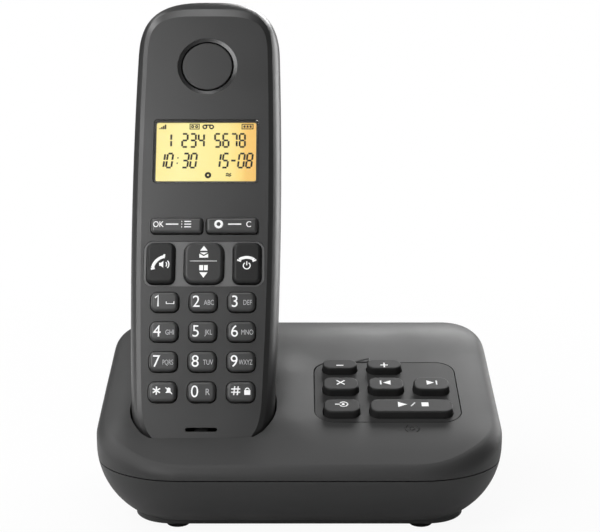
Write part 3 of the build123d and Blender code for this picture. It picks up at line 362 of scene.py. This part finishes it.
def ring(name, outer, inner, thickness, finish):
    """Ring between two circles, each a radius and a depth behind the face."""
    bm = bmesh.new()
    bmesh.ops.create_circle(bm, segments=96, radius=outer[0])
    bmesh.ops.translate(bm, vec=(0, 0, -outer[1]), verts=bm.verts[:])
    grown = bmesh.ops.extrude_edge_only(bm, edges=bm.edges[:])["geom"]
    edge = [corner for corner in grown if isinstance(corner, bmesh.types.BMVert)]
    bmesh.ops.scale(bm, vec=(inner[0] / outer[0], inner[0] / outer[0], 1), verts=edge)
    bmesh.ops.translate(bm, vec=(0, 0, outer[1] - inner[1]), verts=edge)
    bmesh.ops.recalc_face_normals(bm, faces=bm.faces[:])
    if bm.faces[0].normal.z < 0:
        bmesh.ops.reverse_faces(bm, faces=bm.faces[:])
    bmesh.ops.solidify(bm, geom=bm.faces[:], thickness=thickness)
    bmesh.ops.recalc_face_normals(bm, faces=bm.faces[:])
    mesh = bpy.data.meshes.new(name)
    bm.to_mesh(mesh)
    bm.free()
    mesh.transform(handset_face @ Matrix.Translation((0, EARPIECE_Y, 0)))
    mesh.materials.append(finish)
    piece = bpy.data.objects.new(name, mesh)
    bpy.context.scene.collection.objects.link(piece)
    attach(piece, frame["nodes"]["earpiece_disc"]["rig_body"])


# The polished slope mirrors the lamps.  The felt's near-black colour is painted shade for the dark
# slit.
polished_abs = moulded("ABS, polished, anthracite", "#1c1c1c", "#202020", 0.26, 0.25, 0.001, 0.5)
felt_and_shade = moulded("polyester felt, black as painted shade", "#0b0b0c", "#131314", 0.95, 0.35, 0.08, 0.05)
ring("earpiece_ring", (9.9, 0.05), (8.75, 0.34), 0.2, polished_abs)
ring("earpiece_felt_as_painted_shade", (9.9, 1.35), (8.3, 1.35), 0.15, felt_and_shade)


# ---------------------------------------------------------------- display
# A clear acrylic window over a positive liquid crystal cell, lit amber from its right edge by a
# light guide, so that the right end is more orange.  The characters are segments in the cell.
acrylic, _, _ = material("acrylic sheet, clear", {"Base Color": colour("#ffffff"), "Roughness": 0.02,
                                                  "IOR": 1.49, "Transmission Weight": 1})
dress(acrylic, "display_window")

WINDOW_LEFT, WINDOW_RIGHT = -0.0475, -0.0133
AMBER = ((0.0, "#ffe98c"), (0.25, "#fff29c"), (0.7, "#ffeb8e"), (0.83, "#ffdd78"), (0.88, "#fbca62"),
         (1.0, "#f8c25c"))
amber, tree, skin = material("liquid crystal cell, amber backlight",
                             {"Base Color": colour("#2a2410"), "Roughness": 0.3,
                              "Emission Strength": 0.95})
across = add(tree, "ShaderNodeSeparateXYZ", {0: add(tree, "ShaderNodeTexCoord").outputs["Object"]})
share = add(tree, "ShaderNodeMapRange", {"Value": across.outputs["X"], "From Min": WINDOW_LEFT,
                                         "From Max": WINDOW_RIGHT})
glow = add(tree, "ShaderNodeValToRGB", {"Fac": share.outputs["Result"]})
stops = glow.color_ramp.elements
while len(stops) < len(AMBER):
    stops.new(0.5)
for stop, (position, shade) in zip(stops, AMBER):
    stop.position = position
    stop.color = colour(shade)
tree.links.new(glow.outputs["Color"], skin.inputs["Emission Color"])
dress(amber, "lcd_panel", "lcd_backlight")

segment_dark = moulded("liquid crystal, switched on", "#0f0b02", "#140f03", 0.7, 0.5, 0.001, 0.02)

SEGMENTS = {"0": "abcdef", "1": "bc", "2": "abged", "3": "abgcd", "4": "fgbc", "5": "afgcd",
            "6": "afgedc", "7": "abc", "8": "abcdefg", "9": "gfabcd", "-": "g"}
SEGMENT_ENDS = {"a": ((0, 2), (1, 2)), "b": ((1, 2), (1, 1)), "c": ((1, 1), (1, 0)),
                "d": ((0, 0), (1, 0)), "e": ((0, 1), (0, 0)), "f": ((0, 2), (0, 1)),
                "g": ((0, 1), (1, 1))}
SEGMENT_LINE, COLON_LINE, ICON_LINE = 0.62, 0.45, 0.42
CHARACTER_WIDTH, SEGMENT_SHARE = 1.75, 0.8


def digits(text, x, y, pitch, height, slant):
    """Seven-segment characters as strokes, the first one centred at x, y."""
    strokes = []
    for i, mark in enumerate(text):
        for part in SEGMENTS.get(mark, ""):
            ends = [Vector(((u - 0.5) * CHARACTER_WIDTH, (v - 1) * height / 2))
                    for u, v in SEGMENT_ENDS[part]]
            centre = (ends[0] + ends[1]) / 2
            ends = [centre + (end - centre) * SEGMENT_SHARE for end in ends]
            strokes.append((SEGMENT_LINE, [(x + i * pitch + p.x + p.y * slant, y + p.y) for p in ends]))
        if mark == ":":
            for level in (-0.9, 0.9):
                place = x + i * pitch + level * slant
                strokes.append((COLON_LINE, [(place, y + level - 0.2), (place, y + level + 0.2)]))
    return strokes


upper = digits("1 234 5678", -12.4, 104.9, 2.68, 4.5, 0.0)
lower = digits("10:30  15-08", -14.5, 97.95, 2.6, 4.8, 0.12)
signal = [(0.52, [(-15.3 + 0.6 * i, 108.8), (-15.3 + 0.6 * i, 109.1 + 0.42 * i)]) for i in range(4)]
cassette = box_outline(-3.95, 109.7, 3.0, 1.7)
tape = [(ICON_LINE, cassette + cassette[:1]), (0.4, arc(-4.6, 109.7, 0.35, 0, 360)),
        (0.4, arc(-3.3, 109.7, 0.35, 0, 360))]
reels = [(0.46, arc(-0.6, 109.6, 0.6, 0, 360)), (0.46, arc(1.6, 109.6, 0.6, 0, 360)),
         (0.46, [(-0.6, 110.2), (1.6, 110.2)])]
cell = box_outline(13.4, 109.7, 3.6, 1.6)
charge = [(ICON_LINE, cell + cell[:1])]
charge += [(0.7, [(12.4 + i, 109.3), (12.4 + i, 110.1)]) for i in range(3)]
ripples = [(ICON_LINE, [(6.5, y), (7.0, y + 0.25), (7.6, y - 0.1), (8.2, y + 0.2)])
           for y in (92.7, 93.3)]
alarm = [(0.75, arc(0.7, 92.95, 0.7, 0, 360))]
sign("display_characters", "lcd_panel", handset_face, segment_dark,
     lines=upper + lower + signal + tape + reels + charge + ripples + alarm)


# ---------------------------------------------------------------- keys of the handset
# Hard smooth polycarbonate caps bonded to a silicone mat: two soft keys under the display, three
# darker keys in a lighter plate that shines, and twelve number keys.  Their signs are screen
# printed in white, and the telephone letters in a duller grey.
handset_cap = moulded("polycarbonate, fine grain, key caps", "#2b2b2b", "#303030",
                      0.34, 0.25, 0.002, 0.48)
rocker_cap = moulded("polycarbonate, fine grain, rocker", "#222222", "#262626",
                     0.36, 0.25, 0.002, 0.38)
function_cap = moulded("polycarbonate, fine grain, darker caps", "#181818", "#1c1c1c",
                       0.4, 0.25, 0.002, 0.22)
key_plate = moulded("ABS, silk finish, mid grey", "#5b5b5b", "#616161", 0.38, 0.25, 0.002, 0.42)
pale_ink = moulded("screen-printed ink, pale grey", "#b2b3b4", "#babbbc", 0.5, 0.3, 0.002)
dress(key_plate, "function_key_plate")


def handset_sign(key, finish=handset_cap, **drawing):
    dress(finish, key)
    sign(key + "_sign", key, handset_face, ink, **drawing)


SOFTKEY_Y, CAPITALS_Y, CAPITALS = 75.5, 74.55, 2.75
listing = [(0.36, [(start, y), (end, y)]) for start, end in ((-6.4, -4.2), (-7.3, -7.1))
           for y in (74.6, 75.5, 76.4)]
handset_sign("softkey_left", lines=[(0.4, [(-12.3, SOFTKEY_Y), (-8.3, SOFTKEY_Y)])] + listing,
             words=[("OK", -14.7, CAPITALS_Y, CAPITALS, 0.85)])
handset_sign("softkey_right", lines=[(0.4, [(7.6, SOFTKEY_Y), (11.8, SOFTKEY_Y)]),
                                     (0.8, arc(4.6, SOFTKEY_Y, 1.05, 0, 360))],
             words=[("C", 14.2, CAPITALS_Y, CAPITALS, 0.9)])

RECEIVER_END, FINE_LINE = 1.35, 0.35
raised_receiver = [(1.0, arc(-11.7, 60.3, 4.5, 102, 170, 10)),
                   (RECEIVER_END, [(-12.9, 64.9), (-12.3, 64.8)]),
                   (RECEIVER_END, [(-16.1, 61.1), (-16.0, 60.5)])]
sound = [(FINE_LINE, arc(-12.7, 62.2, radius, -45, 45, 6)) for radius in (1.0, 1.7)]
cone = [(-14.1, 61.7), (-13.6, 61.7), (-12.8, 61.1), (-12.8, 63.3), (-13.6, 62.7), (-14.1, 62.7)]
handset_sign("talk_key", function_cap, lines=raised_receiver + sound, fills=[cone])

laid_receiver = [(0.95, arc(13.7, 60.4, 4.1, 55, 125, 10)),
                 (RECEIVER_END, [(11.4, 63.7), (11.2, 63.2)]),
                 (RECEIVER_END, [(16.0, 63.7), (16.2, 63.2)])]
power = [(FINE_LINE, arc(13.7, 61.8, 1.1, 125, 415, 12)), (FINE_LINE, [(13.7, 61.9), (13.7, 63.2)])]
handset_sign("end_key", function_cap, lines=laid_receiver + power)

envelope = [(-1.4, 64.4), (1.4, 64.4), (1.4, 65.7), (0, 64.9), (-1.4, 65.7)]
flap = [(-1.2, 66.1), (1.2, 66.1), (0, 65.35)]
up_arrow = [(-1.2, 66.7), (1.2, 66.7), (0, 68.3)]
down_arrow = [(-1.3, 59.6), (0, 57.8), (1.3, 59.6)]
pages = [box_outline(-0.75, 61.1, 1.2, 1.7), box_outline(0.75, 61.1, 1.2, 1.7)]
handset_sign("navigation_key", rocker_cap, lines=[(0.16, [(-4.4, 63.3), (4.2, 63.3)])],
             fills=[envelope, flap, up_arrow, down_arrow] + pages)

KEYPAD = ("1", "2", "3", "4", "5", "6", "7", "8", "9", "star", "0", "hash")
PITCH_X, PITCH_Y, LAST_ROW_Y = 12.15, 9.57, 21.4
LETTERS = {"2": "ABC", "3": "DEF", "4": "GHI", "5": "JKL", "6": "MNO", "7": "PQRS", "8": "TUV",
           "9": "WXYZ", "0": "R"}
# By the number of letters: how far right of the key's middle they stand, their size and narrowing.
LETTER_FIT = {1: (1.9, 2.9, 0.85), 3: (1.9, 2.3, 0.72), 4: (1.5, 2.3, 0.62)}
for i, mark in enumerate(KEYPAD):
    key = "key_" + mark
    x, y = (i % 3 - 1) * PITCH_X, LAST_ROW_Y + (3 - i // 3) * PITCH_Y
    if mark == "1":
        mailbox = (0.3, [(x + 0.6, y), (x + 0.6, y - 0.7), (x + 3.0, y - 0.7), (x + 3.0, y)])
        one = (0.5, [(x - 3.0, y + 1.2), (x - 2.0, y + 1.95), (x - 2.0, y - 1.6)])
        drawing = {"lines": [mailbox, one]}
    elif mark == "star":
        rays = [(1.3 * cos(radians(turn)), 1.3 * sin(radians(turn))) for turn in (30, 90, 150)]
        lines = [(0.45, [(x - 1.8 - u, y + 0.3 - v), (x - 1.8 + u, y + 0.3 + v)]) for u, v in rays]
        strike = (0.3, [(x + 1.0, y + 1.3), (x + 3.1, y - 0.8)])
        bell = [(x + 1.0, y - 0.4), (x + 3.0, y - 0.4), (x + 2.6, y + 0.1), (x + 2.5, y + 1.0),
                (x + 2.0, y + 1.3), (x + 1.5, y + 1.0), (x + 1.4, y + 0.1)]
        drawing = {"lines": lines + [strike], "fills": [bell]}
    elif mark == "hash":
        lines = [(0.4, [(x - 2.9, y + d), (x - 0.1, y + d)]) for d in (-0.2, 0.8)]
        lines += [(0.4, [(x - 1.5 + d, y - 1.1), (x - 1.2 + d, y + 1.7)]) for d in (-0.6, 0.5)]
        shackle = (0.3, arc(x + 2.1, y + 0.5, 0.6, 0, 180))
        drawing = {"lines": lines + [shackle], "fills": [box_outline(x + 2.1, y - 0.3, 1.9, 1.5)]}
    else:
        drawing = {"words": [(mark, x - 2.1, y - 1.75, 5.35, 0.95)]}
    handset_sign(key, **drawing)
    if mark in LETTERS:
        shift, size, narrow = LETTER_FIT[len(LETTERS[mark])]
        sign(key + "_letters", key, handset_face, pale_ink,
             words=[(LETTERS[mark], x + shift, y - 1.1, size, narrow)])


# ---------------------------------------------------------------- floor and light
# A plain white paper sweep that fades to pure white away from the base.  Soft boxes stand at the
# left front, at both sides and far behind, two hang high over the handset, and a weak wide one in
# front lifts the shadows.
MIRRORED_SHARE = 0.06


def shown(tree):
    """1 where the background is looked at, also through clear plastic, and less in a reflection."""
    path = add(tree, "ShaderNodeLightPath")
    direct = add(tree, "ShaderNodeMath", {0: path.outputs["Is Camera Ray"],
                                          1: path.outputs["Is Transmission Ray"]}, operation="MAXIMUM")
    mirrored = add(tree, "ShaderNodeMath", {0: path.outputs["Is Glossy Ray"], 1: MIRRORED_SHARE},
                   operation="MULTIPLY")
    return add(tree, "ShaderNodeMath", {0: direct.outputs[0], 1: mirrored.outputs[0]},
               operation="MAXIMUM").outputs[0]


floor = bpy.data.objects.new("floor", bpy.data.meshes.new("floor"))
bm = bmesh.new()
bmesh.ops.create_grid(bm, x_segments=1, y_segments=1, size=6)
bm.to_mesh(floor.data)
bm.free()
bpy.context.scene.collection.objects.link(floor)
paper, tree, skin = material("matt paper sweep, white", {"Base Color": colour("#cecece"),
                                                         "Roughness": 0.9, "Specular IOR Level": 0.0})
away = add(tree, "ShaderNodeVectorMath", {0: add(tree, "ShaderNodeTexCoord").outputs["Object"]},
           operation="LENGTH")
fade = add(tree, "ShaderNodeMapRange", {"Value": away.outputs["Value"], "From Min": 0.12,
                                        "From Max": 0.4, "To Min": 0.93, "To Max": 1.0})
white = add(tree, "ShaderNodeMath", {0: shown(tree), 1: fade.outputs["Result"]}, operation="MULTIPLY")
bright = add(tree, "ShaderNodeEmission", {"Color": colour("#ffffff"), "Strength": 1.0})
mixed = add(tree, "ShaderNodeMixShader", {0: white.outputs[0], 1: skin.outputs[0],
                                          2: bright.outputs[0]})
tree.links.new(mixed.outputs[0], tree.nodes["Material Output"].inputs["Surface"])
floor.data.materials.append(paper)

world = bpy.data.worlds.new("studio")
bpy.context.scene.world = world
world.use_nodes = True
tree = world.node_tree
toward = add(tree, "ShaderNodeSeparateXYZ", {0: add(tree, "ShaderNodeTexCoord").outputs["Generated"]})
ceiling = add(tree, "ShaderNodeMapRange", {"Value": toward.outputs["Z"], "From Min": 0.4,
                                           "From Max": 0.9, "To Max": 0.18})
strength = add(tree, "ShaderNodeMath", {0: shown(tree), 1: ceiling.outputs["Result"]},
               operation="MAXIMUM")
tree.nodes["Background"].inputs["Color"].default_value = colour("#ffffff")
tree.links.new(strength.outputs[0], tree.nodes["Background"].inputs["Strength"])


def soft_box(name, place, aim, width, height, radiance):
    """Rectangular lamp of an even brightness, where 1 is white."""
    lamp = bpy.data.lights.new(name, "AREA")
    lamp.shape = "RECTANGLE"
    lamp.size = width
    lamp.size_y = height
    lamp.energy = radiance * pi * width * height
    light = bpy.data.objects.new(name, lamp)
    light.location = place
    light.rotation_euler = (Vector(aim) - Vector(place)).to_track_quat("-Z", "Y").to_euler()
    bpy.context.scene.collection.objects.link(light)


# Name, place, point that it is aimed at, width, height and brightness.
soft_box("left_box", (-0.24, -0.38, 0.40), (-0.04, -0.02, 0.08), 0.22, 0.35, 7.5)
soft_box("left_strip", (-0.60, 0.02, 0.27), (-0.03, 0.0, 0.10), 0.18, 0.50, 5.6)
soft_box("back_box", (0.25, 0.80, 0.60), (0.02, 0.0, 0.05), 0.5, 0.3, 12.5)
soft_box("right_strip", (0.55, 0.55, 0.22), (0.0, 0.0, 0.07), 0.3, 0.45, 5.9)
soft_box("right_fill", (0.65, 0.0, 0.20), (0.0, 0.0, 0.07), 0.3, 0.45, 0.15)
soft_box("high_left_box", (-0.52, 0.27, 0.74), (-0.04, 0.01, 0.13), 0.44, 0.26, 7.5)
soft_box("zenith_box", (-0.08, -0.03, 0.88), (-0.03, 0.0, 0.1), 0.30, 0.26, 6.2)
soft_box("front_fill", (0.0, -1.0, 0.30), (0.0, 0.0, 0.07), 0.9, 0.4, 0.95)
